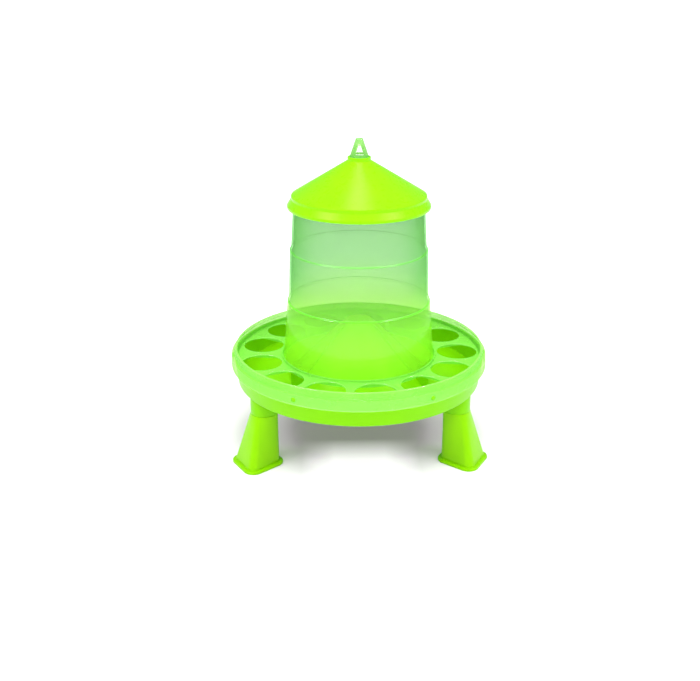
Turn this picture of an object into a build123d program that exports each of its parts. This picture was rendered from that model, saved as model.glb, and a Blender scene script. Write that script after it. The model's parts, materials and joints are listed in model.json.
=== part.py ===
from build123d import *
from math import asin, cos, pi, radians, sin, sqrt
import os

# A hopper feeder for hens. A round tray with a spreading cone stands on three plug-in legs.
# An anti-waste grille snaps onto the tray, a see-through hopper twists into three hooks on the
# cone, and a conical lid lifts off along the hanger that the whole feeder can be hung from.
# Millimetres, +Z up, z = 0 is the floor under its feet, and the origin is the middle of the floor
# area it covers. The rear foot reaches furthest, so the feeder's axis stands a little forward of it.

# Clearances between pieces
hopper_drop_gap = 0.4     # hopper rim over the shoulders that carry it
collar_gap = 0.5          # hopper wall to grille collar, at the hopper's widest
hook_gap = 0.6            # bayonet hook to the hopper's lug and wall
lid_seat_gap = 0.4        # lid over the hopper's top edge
lid_side_gap = 0.7        # lid wall round the hopper's top
arm_gap = 1.5             # spider arms under the lid
lid_hole_gap = 0.4        # lid hole round the hanger
swivel_gap = 0.08         # hanger stem in its hub, radial
swivel_float = 0.3        # hanger shoulder over the hub
barb_float = 0.7          # hanger barb under the hub
peg_gap = 0.3             # peg in its hole in the skirt, radial
spigot_gap = 0.15         # leg spigot in its socket, radial
nest_gap = 0.2            # tray wall to the grille's inner wall

# Legs and their sockets
leg_count = 3
leg_start_angle = -30.0
leg_height = 63.5         # floor to the joint with the socket
leg_proud = 0.3           # how far a leg stands out under its socket
leg_wall = 2.2
foot_inner_reach = 17.0   # foot flange from the leg's axis towards the feeder's axis
foot_outer_reach = 35.0   # and away from it
foot_inner_half = 18.4    # half width of the foot at its inner edge
foot_outer_half = 28.9    # and at its outer edge
foot_corner = 12.5
foot_thickness = 3.5
foot_round = 1.4
foot_lip = 4.0            # how far the foot flange stands out from the leg
spigot_length = 16.0
socket_radius = 15.5
socket_wall = 2.65
socket_drop = 18.2
socket_inset = 0.1        # socket's outer side within the tray's wall

# Tray
tray_depth = 31.8
tray_flare = 0.12         # outward run of the wall for each millimetre up
tray_wall = 1.8
tray_floor = 2.0
tray_heel = 2.5           # outer rounding at the floor
cone_top_radius = 15.0
cone_setback = 5.1        # cone's base inside the hopper's lower rim
cone_height = 70.3        # above the tray floor
cone_wall = 2.0
cone_nose = 6.0           # rounding at the cone's top
fin_thickness = 2.5
fin_height = 3.0          # above the cone's slope
fin_start = 3.0           # beyond the cone's top
fin_ramp = 6.0
post_width = 7.7
shoulder_margin = 1.9     # shoulder's reach beyond the hopper's rim
sink = 0.6                # how deep a rib's root runs into the wall that carries it
peg_count = 6
peg_radius = 2.5
peg_drop = 4.5            # peg axis under the tray's rim
peg_dome = 0.8

# Anti-waste grille
hole_radius = 24.0
hole_margin = 1.9         # plate left between a hole and the collar or the guard rim
least_web = 8.0           # plate left between neighbouring holes
plate_thickness = 2.0
plate_sink = 3.0          # plate's top under the tray's rim
rim_height = 12.5         # guard rim over the plate
rim_wall = 1.6
rim_lean = 0.8            # inward lean of the guard rim's foot
rim_round = 0.7
channel_shoulder = 2.0    # outer wall's step out at the top of the skirt
ledge_thickness = 2.0
ledge_slope = 1.0
skirt_wall = 1.8
skirt_gap = 1.28          # tray rim to the skirt's inner face
skirt_depth = 12.7
skirt_lean = 0.5
collar_wall = 1.8
collar_rise = 3.0
collar_drop = 4.0
rib_thickness = 1.6
rib_inner_depth = 5.0
rib_outer_depth = 2.0

# Hopper
rim_reach = 0.5           # hopper's lower rim below the grille's collar
hopper_height = 198.0
hopper_radius = 90.1      # outer, at the lower rim, which the collar and the cone follow
hopper_taper = 0.0626     # inward run of the wall for each millimetre up
hopper_wall = 2.0
hopper_ledge = 1.6        # step at each ring
ring_heights = (75.0, 136.3)
lug_arc = 13.0
lug_reach = 4.0
lug_thickness = 3.0
lug_height = 1.5          # over the hopper's lower rim
lug_lead = 1.3            # degrees from the fin's middle to the lug
hook_thickness = 2.6
hook_width = 2.8
arm_count = 3
arm_start_angle = 90.0
arm_width = 14.0
arm_thickness = 3.0
arm_web = 2.4
arm_web_depth = 6.0
hub_radius = 15.5
hub_height = 8.0

# Lid
lid_wall = 2.0
lid_slope = 0.61          # rise for each millimetre inwards
lid_wall_height = 3.5
lid_flare_run = 4.7
lid_flare_drop = 7.5
lid_rim_height = 3.0
lid_shoulder_round = 1.6
collar_lip = 1.3
collar_height = 3.9

# Hanger
hanger_radius = 11.5
hanger_top_radius = 3.8
hanger_height = 22.4      # cone above the lid's collar foot
hanger_wall = 2.2
hanger_nose = 1.2
window_height = 9.4
window_base_half = 4.5
window_top_half = 1.4
window_corner = 0.5
bar_height = 7.5          # solid bar over the window
stem_radius = 8.0
stem_bore = 5.4
barb_overhang = 2.2
barb_rim = 1.3
barb_taper = 4.0
snap_slot = 3.0


# Legs and sockets
leg_top_radius = socket_radius + leg_proud
spigot_radius = socket_radius - socket_wall - spigot_gap

# Heights, from the floor up
tray_bottom = leg_height + socket_drop
floor_top = tray_bottom + tray_floor
tray_rim = tray_bottom + tray_depth
peg_height = tray_rim - peg_drop
plate_top = tray_rim - plate_sink
plate_bottom = plate_top - plate_thickness
rim_top = plate_top + rim_height
collar_bottom = plate_bottom - collar_drop
hopper_bottom = collar_bottom - rim_reach
hopper_top = hopper_bottom + hopper_height
shoulder_top = hopper_bottom - hopper_drop_gap
lug_bottom = hopper_bottom + lug_height
hook_bottom = lug_bottom + lug_thickness + hook_gap
hook_top = hook_bottom + hook_thickness

# Radii, from the hopper outwards: collar, ring of holes, guard rim, tray wall, skirt
collar_inner = hopper_radius + collar_gap
collar_outer = collar_inner + collar_wall
rim_foot_inner = collar_outer + 2 * (hole_margin + hole_radius)
rim_foot_outer = rim_foot_inner + rim_wall
hole_circle = (collar_outer + rim_foot_inner) / 2
hole_count = int(pi / asin((hole_radius + least_web / 2) / hole_circle))
tray_foot_radius = rim_foot_outer + nest_gap + tray_wall - (plate_bottom - tray_bottom) * tray_flare
skirt_radius = tray_foot_radius + tray_depth * tray_flare + skirt_gap + skirt_wall + skirt_lean
leg_circle = tray_foot_radius - socket_inset - socket_radius

# Radii, from the hopper inwards: hooks and posts, cone
hook_outer = hopper_radius - hopper_taper * (hook_top - hopper_bottom) - hopper_wall - hook_gap
post_inner_radius = hook_outer - post_width
shoulder_reach = hopper_radius + shoulder_margin
cone_base_radius = hopper_radius - cone_setback
cone_fall = cone_height / (cone_base_radius - cone_top_radius)
fin_start_radius = cone_top_radius + fin_start

# The feeder's axis, midway between the front of the skirt and the back of the rear foot
axis_y = (skirt_radius - leg_circle - foot_outer_reach) / 2
feeder_axis = Axis((0, axis_y, 0), (0, 0, 1))
leg_angles = [leg_start_angle + 360.0 / leg_count * step for step in range(leg_count)]


def level_plane(height):
    """A level plane on the feeder's axis."""
    return Plane(origin=(0, axis_y, height), x_dir=(1, 0, 0), z_dir=(0, 0, 1))


def radial_plane(angle):
    """The upright plane through the feeder's axis, its x running outwards and its y up."""
    turn = radians(angle)
    return Plane(origin=(0, axis_y, 0), x_dir=(cos(turn), sin(turn), 0), z_dir=(sin(turn), -cos(turn), 0))


def outward_plane(angle, radius, height):
    """A plane that faces outwards at a distance from the feeder's axis."""
    turn = radians(angle)
    facing = (cos(turn), sin(turn), 0)
    foot = (radius * cos(turn), axis_y + radius * sin(turn), height)
    return Plane(origin=foot, x_dir=(0, 0, 1), z_dir=facing)


def leg_plane(angle, height):
    """A level plane on a leg's axis, its x running outwards."""
    turn = radians(angle)
    centre = (leg_circle * cos(turn), axis_y + leg_circle * sin(turn), height)
    return Plane(origin=centre, x_dir=(cos(turn), sin(turn), 0), z_dir=(0, 0, 1))


def angles(count, start):
    """Equally spaced directions round the feeder's axis."""
    return [start + 360.0 / count * step for step in range(count)]


def save(part, name):
    """Labels a finished piece and writes its STEP file."""
    part.label = name
    export_step(part, f"parts/{name}.step")


def cone_surface(radius):
    """Height of the spreading cone's outer slope."""
    return floor_top + (cone_base_radius - radius) * cone_fall


def tray_outer(height):
    """Outer radius of the tray's flared wall."""
    return tray_foot_radius + (height - tray_bottom) * tray_flare


def hopper_outer(height):
    """Outer radius of the hopper, with its rings stepping in on the way up."""
    up = height - hopper_bottom
    steps = sum(1 for ring in ring_heights if up > ring)
    return hopper_radius - up * hopper_taper - steps * hopper_ledge


# Tray: trough, spreading cone, leg sockets, pegs and bayonet hooks, one moulding
os.makedirs("parts", exist_ok=True)
cone_inset = cone_wall * sqrt(1 + cone_fall**2) / cone_fall
cone_under = cone_height + tray_floor - cone_wall
with BuildPart() as feed_tray:
    with BuildSketch(radial_plane(0)):
        with BuildLine():
            FilletPolyline(
                (0, floor_top + cone_height),
                (cone_top_radius, floor_top + cone_height),
                (cone_base_radius, floor_top),
                (tray_outer(floor_top) - tray_wall, floor_top),
                (tray_outer(tray_rim) - tray_wall, tray_rim),
                (tray_outer(tray_rim), tray_rim),
                (tray_foot_radius, tray_bottom),
                (cone_base_radius - cone_inset + tray_floor / cone_fall, tray_bottom),
                (cone_top_radius - cone_inset + cone_wall / cone_fall, tray_bottom + cone_under),
                (0, tray_bottom + cone_under),
                radius=[0, cone_nose, 3, 1.2, 0.5, 0.5, tray_heel, 1, 2, 0],
                close=True,
            )
        make_face()
    revolve(axis=feeder_axis)
    for angle in leg_angles:
        with BuildSketch(leg_plane(angle, leg_height)):
            Circle(socket_radius)
        extrude(amount=socket_drop + sink)
        with BuildSketch(leg_plane(angle, leg_height)):
            Circle(spigot_radius + spigot_gap)
        extrude(amount=socket_drop, mode=Mode.SUBTRACT)
    for angle in angles(peg_count, 0):
        with BuildSketch(outward_plane(angle, tray_outer(peg_height) - sink, peg_height)):
            Circle(peg_radius)
        extrude(amount=skirt_radius - tray_outer(peg_height) + sink)
        tip = feed_tray.edges(Select.LAST).filter_by(GeomType.CIRCLE).sort_by_distance((0, axis_y, peg_height))[-1]
        fillet(tip, peg_dome)
    ramp_end = fin_start_radius + fin_ramp
    for angle in leg_angles:
        with BuildSketch(radial_plane(angle)):
            with BuildLine():
                Polyline(
                    (fin_start_radius, cone_surface(fin_start_radius) - sink),
                    (ramp_end, cone_surface(ramp_end) + fin_height),
                    (post_inner_radius, cone_surface(post_inner_radius) + fin_height),
                    (post_inner_radius, hook_top),
                    (hook_outer, hook_top),
                    (hook_outer, shoulder_top),
                    (shoulder_reach, shoulder_top),
                    (shoulder_reach, floor_top - sink),
                    (cone_base_radius, floor_top - sink),
                    close=True,
                )
            make_face()
        extrude(amount=fin_thickness / 2, both=True)
        with BuildSketch(radial_plane(angle)):
            with BuildLine():
                Polyline(
                    (hook_outer - hook_width, hook_bottom),
                    (hook_outer, hook_bottom),
                    (hook_outer, hook_top),
                    (hook_outer - hook_width, hook_top),
                    close=True,
                )
            make_face()
        revolve(axis=feeder_axis, revolution_arc=lug_lead + lug_arc)
save(feed_tray.part, "feed_tray")

# Legs: hollow, round where they plug in, spreading to a flanged foot
foot_outline = [
    (-foot_inner_reach, -foot_inner_half),
    (foot_outer_reach, -foot_outer_half),
    (foot_outer_reach, foot_outer_half),
    (-foot_inner_reach, foot_inner_half),
]


def inset_outline(inset):
    """The foot's outline drawn in by the same amount on each side."""
    return [(x - inset * (1 if x > 0 else -1), y - inset * (1 if y > 0 else -1)) for x, y in foot_outline]


for number, angle in enumerate(leg_angles, start=1):
    with BuildPart() as leg:
        with BuildSketch(leg_plane(angle, 0)):
            with BuildLine():
                FilletPolyline(*foot_outline, radius=foot_corner, close=True)
            make_face()
        extrude(amount=foot_thickness)
        fillet(leg.edges().group_by(Axis.Z)[-1], foot_round)
        fillet(leg.edges().group_by(Axis.Z)[0], foot_round / 2)
        with BuildSketch(leg_plane(angle, foot_thickness / 2)):
            with BuildLine():
                FilletPolyline(*inset_outline(foot_lip), radius=foot_corner - foot_lip, close=True)
            make_face()
        with BuildSketch(leg_plane(angle, leg_height)):
            Circle(leg_top_radius)
        loft()
        with BuildSketch(leg_plane(angle, leg_height)):
            Circle(spigot_radius)
        extrude(amount=spigot_length)
        with BuildSketch(leg_plane(angle, 0)):
            with BuildLine():
                FilletPolyline(
                    *inset_outline(foot_lip + leg_wall), radius=foot_corner - foot_lip - leg_wall, close=True
                )
            make_face()
        with BuildSketch(leg_plane(angle, leg_height)):
            Circle(spigot_radius - leg_wall)
        loft(mode=Mode.SUBTRACT)
        with BuildSketch(leg_plane(angle, leg_height)):
            Circle(spigot_radius - leg_wall)
        extrude(amount=spigot_length, mode=Mode.SUBTRACT)
    save(leg.part, f"leg_{number}")

# Anti-waste grille: pierced plate inside a guard rim, with a skirt that snaps over the tray
skirt_top = tray_rim + ledge_thickness
rim_outer = tray_outer(rim_top) - tray_wall - nest_gap - rim_lean
with BuildPart() as anti_waste_grille:
    with BuildSketch(radial_plane(0)):
        with BuildLine():
            FilletPolyline(
                (collar_inner, collar_bottom),
                (collar_outer, collar_bottom),
                (collar_outer, plate_bottom),
                (rim_foot_outer, plate_bottom),
                (tray_outer(tray_rim) - tray_wall - nest_gap, tray_rim),
                (skirt_radius - skirt_lean - skirt_wall, tray_rim),
                (skirt_radius - skirt_wall, skirt_top - skirt_depth),
                (skirt_radius, skirt_top - skirt_depth),
                (skirt_radius - skirt_lean, skirt_top),
                (rim_outer + channel_shoulder, skirt_top + ledge_slope),
                (rim_outer, rim_top),
                (rim_outer - rim_wall - ledge_slope / 2, rim_top),
                (rim_foot_inner, plate_top),
                (collar_outer, plate_top),
                (collar_outer, plate_top + collar_rise),
                (collar_inner, plate_top + collar_rise),
                radius=[
                    0.4, 0.4, 0.5, 0, 0, 0.4, 0.6, 0.6,
                    0.5, 0.5, rim_round, rim_round, 1, 0.8, 0.6, 0.6,
                ],
                close=True,
            )
        make_face()
    revolve(axis=feeder_axis)
    for angle in angles(hole_count, 180.0 / hole_count):
        with BuildSketch(radial_plane(angle)):
            with BuildLine():
                Polyline(
                    (collar_outer - sink, plate_bottom + sink),
                    (collar_outer - sink, plate_bottom - rib_inner_depth + sink),
                    (rim_foot_inner, plate_bottom - rib_outer_depth),
                    (rim_foot_inner, plate_bottom + sink),
                    close=True,
                )
            make_face()
        extrude(amount=rib_thickness / 2, both=True)
    with BuildSketch(level_plane(plate_bottom)):
        with PolarLocations(hole_circle, hole_count):
            Circle(hole_radius)
    extrude(amount=plate_thickness, mode=Mode.SUBTRACT)
    for angle in angles(peg_count, 0):
        with BuildSketch(outward_plane(angle, tray_outer(tray_rim), peg_height)):
            Circle(peg_radius + peg_gap)
        extrude(amount=skirt_radius - tray_foot_radius, mode=Mode.SUBTRACT)
save(anti_waste_grille.part, "anti_waste_grille")

# Hopper: three tapering stretches between rings, bayonet lugs inside, a spider and hub on top
lid_inner_rise = lid_wall * sqrt(1 + lid_slope**2)
lid_wall_inner = hopper_outer(hopper_top) + lid_side_gap
lid_wall_outer = lid_wall_inner + lid_wall
lid_shoulder = hopper_top + lid_seat_gap + lid_inner_rise - lid_slope * (lid_wall_outer - hopper_outer(hopper_top))


def lid_outside(radius):
    """Height of the lid's outer slope."""
    return lid_shoulder + (lid_wall_outer - radius) * lid_slope


def arm_top(radius):
    """Height of the spider arms, which run under the lid."""
    return lid_outside(radius) - lid_inner_rise - arm_gap * sqrt(1 + lid_slope**2)


hub_top = arm_top(hub_radius)
hub_bottom = hub_top - hub_height
hub_bore = stem_radius + swivel_gap
ring_steps = []
for ring in ring_heights:
    ring_height = hopper_bottom + ring
    ring_radius = hopper_outer(ring_height)
    ring_steps += [(ring_radius, ring_height), (ring_radius - hopper_ledge, ring_height)]
inner_steps = [(radius - hopper_wall, height - hopper_wall) for radius, height in reversed(ring_steps)]
with BuildPart() as hopper:
    with BuildSketch(radial_plane(0)):
        with BuildLine():
            Polyline(
                (hopper_outer(hopper_bottom), hopper_bottom),
                *ring_steps,
                (hopper_outer(hopper_top), hopper_top),
                (hopper_outer(hopper_top) - hopper_wall, hopper_top),
                *inner_steps,
                (hopper_outer(hopper_bottom) - hopper_wall, hopper_bottom),
                close=True,
            )
        make_face()
    revolve(axis=feeder_axis)
    lug_outer = hopper_outer(lug_bottom + lug_thickness) - hopper_wall + sink
    for angle in leg_angles:
        with BuildSketch(radial_plane(angle + lug_lead)):
            with BuildLine():
                Polyline(
                    (lug_outer - lug_reach - sink, lug_bottom),
                    (lug_outer, lug_bottom),
                    (lug_outer, lug_bottom + lug_thickness),
                    (lug_outer - lug_reach - sink, lug_bottom + lug_thickness),
                    close=True,
                )
            make_face()
        revolve(axis=feeder_axis, revolution_arc=lug_arc)
    with BuildSketch(level_plane(hub_bottom)):
        Circle(hub_radius)
    extrude(amount=hub_height)
    arm_root = (hub_radius + hub_bore) / 2
    arm_end = hopper_outer(hopper_top) - hopper_wall / 2
    for angle in angles(arm_count, arm_start_angle):
        with BuildSketch(radial_plane(angle)):
            with BuildLine():
                Polyline(
                    (arm_root, hub_top),
                    (hub_radius, hub_top),
                    (arm_end, arm_top(arm_end)),
                    (arm_end, arm_top(arm_end) - arm_thickness),
                    (hub_radius, hub_top - arm_thickness),
                    (arm_root, hub_top - arm_thickness),
                    close=True,
                )
            make_face()
        extrude(amount=arm_width / 2, both=True)
        with BuildSketch(radial_plane(angle)):
            with BuildLine():
                Polyline(
                    (arm_root, hub_top - arm_thickness / 2),
                    (hub_radius, hub_top - arm_thickness / 2),
                    (arm_end, arm_top(arm_end) - arm_thickness / 2),
                    (arm_end, arm_top(arm_end) - arm_web_depth),
                    (hub_radius, hub_bottom),
                    (arm_root, hub_bottom),
                    close=True,
                )
            make_face()
        extrude(amount=arm_web / 2, both=True)
    with BuildSketch(level_plane(hub_bottom)):
        Circle(hub_bore)
    extrude(amount=hub_height, mode=Mode.SUBTRACT)
save(hopper.part, "hopper")

# Lid: cone with a rolled shoulder, a flared skirt and a collar round the hanger
lid_hole = hanger_radius + lid_hole_gap
collar_foot = lid_hole + collar_lip
lid_collar_top = lid_outside(collar_foot) + collar_height
lid_flare_top = lid_shoulder - lid_wall_height
lid_rim_outer = lid_wall_outer + lid_flare_run
lid_rim_bottom = lid_flare_top - lid_flare_drop - lid_rim_height
with BuildPart() as lid:
    with BuildSketch(radial_plane(0)):
        with BuildLine():
            FilletPolyline(
                (lid_hole, lid_outside(lid_hole) - lid_inner_rise),
                (lid_wall_inner, lid_outside(lid_wall_inner) - lid_inner_rise),
                (lid_wall_inner, lid_flare_top - lid_wall / 2),
                (lid_rim_outer - lid_wall, lid_flare_top - lid_flare_drop - lid_wall / 2),
                (lid_rim_outer - lid_wall, lid_rim_bottom),
                (lid_rim_outer, lid_rim_bottom),
                (lid_rim_outer, lid_flare_top - lid_flare_drop),
                (lid_wall_outer, lid_flare_top),
                (lid_wall_outer, lid_shoulder),
                (collar_foot, lid_outside(collar_foot)),
                (collar_foot, lid_collar_top),
                (lid_hole, lid_collar_top),
                radius=[0, 0.4, 1.5, 0.8, 0.8, 0.8, 1.5, 2, lid_shoulder_round, 1, 0.5, 0.5],
                close=True,
            )
        make_face()
    revolve(axis=feeder_axis)
save(lid.part, "lid")

# Hanger: hollow cone with a window for the hook, on a snap-in swivel stem
hanger_foot = hub_top + swivel_float
cone_foot = lid_outside(collar_foot) + (collar_height - sink) / 2
hanger_top = cone_foot + hanger_height
stem_bottom = hub_bottom - barb_float - barb_rim - barb_taper
window_top = hanger_top - bar_height
window_bottom = window_top - window_height
hanger_lean = (hanger_radius - hanger_top_radius) / hanger_height
roof = window_top - window_corner
roof_radius = hanger_radius - (roof - cone_foot) * hanger_lean - hanger_wall
with BuildPart() as hanger:
    with BuildSketch(radial_plane(0)):
        with BuildLine():
            FilletPolyline(
                (stem_bore, stem_bottom),
                (stem_radius, stem_bottom),
                (stem_radius + barb_overhang, stem_bottom + barb_taper),
                (stem_radius + barb_overhang, stem_bottom + barb_taper + barb_rim),
                (stem_radius, stem_bottom + barb_taper + barb_rim),
                (stem_radius, hanger_foot),
                (hanger_radius, hanger_foot),
                (hanger_radius, cone_foot),
                (hanger_top_radius, hanger_top),
                (0, hanger_top),
                (0, roof),
                (roof_radius, roof),
                (hanger_radius - hanger_wall, cone_foot),
                (stem_bore, cone_foot - (hanger_radius - hanger_wall - stem_bore)),
                radius=[0.3, 0.3, 0.3, 0.3, 0, 0, 0.4, 2, hanger_nose, 0, 0, 1, 1, 1],
                close=True,
            )
        make_face()
    revolve(axis=feeder_axis)
    with BuildSketch(radial_plane(0)):
        with BuildLine():
            FilletPolyline(
                (-window_base_half, window_bottom),
                (window_base_half, window_bottom),
                (window_top_half, window_top),
                (-window_top_half, window_top),
                radius=window_corner,
                close=True,
            )
        make_face()
    extrude(amount=2 * hanger_radius, both=True, mode=Mode.SUBTRACT)
    with BuildSketch(radial_plane(0)):
        with BuildLine():
            Polyline(
                (-snap_slot / 2, stem_bottom),
                (snap_slot / 2, stem_bottom),
                (snap_slot / 2, hub_top - snap_slot / 2),
                (-snap_slot / 2, hub_top - snap_slot / 2),
                close=True,
            )
        make_face()
    extrude(amount=2 * hanger_radius, both=True, mode=Mode.SUBTRACT)
save(hanger.part, "hanger")

print("feeding holes", hole_count, "tray radius", round(tray_foot_radius, 2), "leg circle", round(leg_circle, 2))
print("feed gap", round(hopper_bottom - floor_top, 2), "skirt radius", round(skirt_radius, 2))
print("rim top", round(rim_top, 2), "collar", round(collar_inner, 2), round(collar_bottom, 2))
print("lid shoulder", round(lid_shoulder, 2), "lid rim", round(lid_rim_bottom, 2), "hub", round(hub_top, 2))
print("hanger top", round(hanger_top, 2), "window", round(window_bottom, 2), round(window_top, 2))
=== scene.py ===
# %% [markdown]
# # A hopper feeder for hens, in lime and clear green plastic
#
# The feeder is eight injection mouldings. A lime tray with a spreading cone stands on three
# plug-in legs. A pierced, see-through grille snaps over the tray, a clear hopper twists onto the
# cone, a lime lid covers the hopper, and a clear hanger stands up through the lid.
#
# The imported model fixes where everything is. Each moulding is made again here with the rounded
# edges, rolled lips and thin walls that light shows up, inside the box of the part it stands for.

import json
import math

import bmesh
import bpy
import numpy as np
from mathutils import Matrix, Vector


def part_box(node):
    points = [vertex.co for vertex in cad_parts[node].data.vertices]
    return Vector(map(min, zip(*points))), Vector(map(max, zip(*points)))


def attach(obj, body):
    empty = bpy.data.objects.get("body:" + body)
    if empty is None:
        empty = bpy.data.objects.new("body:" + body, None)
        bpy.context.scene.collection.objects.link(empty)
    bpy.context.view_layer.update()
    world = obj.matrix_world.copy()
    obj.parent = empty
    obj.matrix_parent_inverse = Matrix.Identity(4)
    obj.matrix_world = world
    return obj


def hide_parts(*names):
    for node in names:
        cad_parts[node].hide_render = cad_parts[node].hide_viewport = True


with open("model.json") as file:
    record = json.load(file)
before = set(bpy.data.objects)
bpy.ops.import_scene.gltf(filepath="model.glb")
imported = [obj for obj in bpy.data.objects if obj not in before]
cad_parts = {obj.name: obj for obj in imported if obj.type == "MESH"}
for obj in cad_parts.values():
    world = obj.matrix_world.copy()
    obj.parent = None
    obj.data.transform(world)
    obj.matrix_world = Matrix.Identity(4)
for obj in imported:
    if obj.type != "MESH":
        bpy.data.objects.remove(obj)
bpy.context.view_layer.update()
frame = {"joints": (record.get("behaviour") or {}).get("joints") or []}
MM = 0.001

# %% [markdown]
# ## Sizes
#
# Nearly every moulding is turned about one upright axis, so its shape is a half section: a list
# of radii and heights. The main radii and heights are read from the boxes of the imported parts,
# and the small ones, such as walls and lips, are named beside the piece that needs them.

# %% Axis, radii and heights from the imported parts
axis_y = frame["joints"][0]["pos_m"][1]
hopper_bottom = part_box("hopper")[0].z
hopper_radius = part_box("hopper")[1].x
skirt_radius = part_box("anti_waste_grille")[1].x
skirt_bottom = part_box("anti_waste_grille")[0].z
rim_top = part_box("anti_waste_grille")[1].z
socket_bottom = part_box("feed_tray")[0].z
lid_rim_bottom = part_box("lid")[0].z
lid_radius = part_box("lid")[1].x
lid_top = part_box("lid")[1].z
hanger_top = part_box("hanger")[1].z
print("hopper radius", round(hopper_radius / MM, 2), "skirt", round(skirt_radius / MM, 2), "axis y", axis_y / MM)

# %% [markdown]
# ## Two ways to make a piece
#
# A turned piece could be made with the Screw modifier or a spin. Here a small Geometry Nodes tree
# does it: it lays a grid, reads the half section once for every direction round the axis, and
# welds the seam. The same tree then makes every bowl, wall, cone and ring, and only the half
# section changes. A second tree repeats a piece round the axis, for pegs, ribs, sockets and holes.


# %% Rounded half sections
def rounded(corners, steps=6, support=0.35 * MM, closed=True):
    """Points of an outline. Each corner is (radius, height, rounding), and its arc is tangent to both sides."""
    points = []
    count = len(corners)
    for i, (x, z, size) in enumerate(corners):
        here = Vector((x, z))
        if size <= 0 or (not closed and i in (0, count - 1)):
            points.append(here)
            continue
        before = Vector(corners[i - 1][:2]) - here
        after = Vector(corners[(i + 1) % count][:2]) - here
        turn = before.angle(after)
        reach = min(size / math.tan(turn / 2), 0.49 * before.length, 0.49 * after.length)
        depth = reach / math.cos(turn / 2)
        middle = here + (before.normalized() + after.normalized()).normalized() * depth
        start = here + before.normalized() * reach - middle
        stop = here + after.normalized() * reach - middle
        sweep = math.atan2(start.x * stop.y - start.y * stop.x, start.dot(stop))
        for step in range(steps + 1):
            part = sweep * step / steps
            swung = Vector((start.x * math.cos(part) - start.y * math.sin(part),
                            start.x * math.sin(part) + start.y * math.cos(part)))
            points.append(middle + swung)
    return with_support(points, support, closed)


def with_support(points, support, closed):
    """Adds a point near both ends of each long straight run, so that smooth shading stays flat between them."""
    held = []
    for i, here in enumerate(points):
        held.append(here)
        if i == len(points) - 1 and not closed:
            break
        run = points[(i + 1) % len(points)] - here
        if run.length > 5 * support:
            held.append(here + run.normalized() * support)
            held.append(here + run - run.normalized() * support)
    return held


def section(name, points):
    """A mesh of the half section's points, in order, for a tree to read."""
    mesh = bpy.data.meshes.new(name)
    mesh.from_pydata([(p[0], 0.0, p[1]) for p in points], [], [])
    piece = bpy.data.objects.new(name, mesh)
    bpy.context.scene.collection.objects.link(piece)
    return piece


sample = rounded([(1, 0, 0.2), (2, 0, 0.2), (2, 1, 0.2), (1, 1, 0.2)], support=1)
print("a rounded unit square has", len(sample), "points")


# %% [markdown]
# ### Building a node tree in code
#
# A tree is a list of nodes and links. Two short helpers keep the trees readable: `node` adds a
# node and feeds its inputs, from a value or from another node's output, and `new_tree` makes the
# group with its named inputs.


# %% Helpers for node trees
def node(tree, kind, feeds=(), **settings):
    """Adds a node, sets its settings, and feeds inputs given as (input, value or output socket)."""
    made = tree.nodes.new(kind)
    for key, value in settings.items():
        setattr(made, key, value)
    for where, what in dict(feeds).items():
        socket = made.inputs[where]
        if isinstance(what, bpy.types.NodeSocket):
            tree.links.new(what, socket)
        else:
            socket.default_value = what
    return made


def new_tree(name, inputs):
    """An empty Geometry Nodes group with a geometry input, the named inputs and a geometry output."""
    tree = bpy.data.node_groups.new(name, "GeometryNodeTree")
    tree.interface.new_socket("Geometry", in_out="INPUT", socket_type="NodeSocketGeometry")
    for label, kind, default in inputs:
        socket = tree.interface.new_socket(label, in_out="INPUT", socket_type=kind)
        if default is not None:
            socket.default_value = default
    tree.interface.new_socket("Geometry", in_out="OUTPUT", socket_type="NodeSocketGeometry")
    return tree, node(tree, "NodeGroupInput").outputs, node(tree, "NodeGroupOutput")


def made_by(host, tree, **values):
    """Runs a tree on a host object and keeps the result as the host's own plain mesh."""
    modifier = host.modifiers.new(tree.name, "NODES")
    modifier.node_group = tree
    for item in tree.interface.items_tree:
        if item.in_out == "INPUT" and item.name.replace(" ", "_").lower() in values:
            modifier[item.identifier] = values[item.name.replace(" ", "_").lower()]
    graph = bpy.context.evaluated_depsgraph_get()
    mesh = bpy.data.meshes.new_from_object(host.evaluated_get(graph), preserve_all_data_layers=True, depsgraph=graph)
    host.modifiers.clear()
    old = host.data
    host.data = mesh
    bpy.data.meshes.remove(old)
    mesh.name = host.name
    return host


def maths(tree, operation, first, second=0.0):
    """A Math node's result."""
    return node(tree, "ShaderNodeMath", {0: first, 1: second}, operation=operation).outputs[0]


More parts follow.
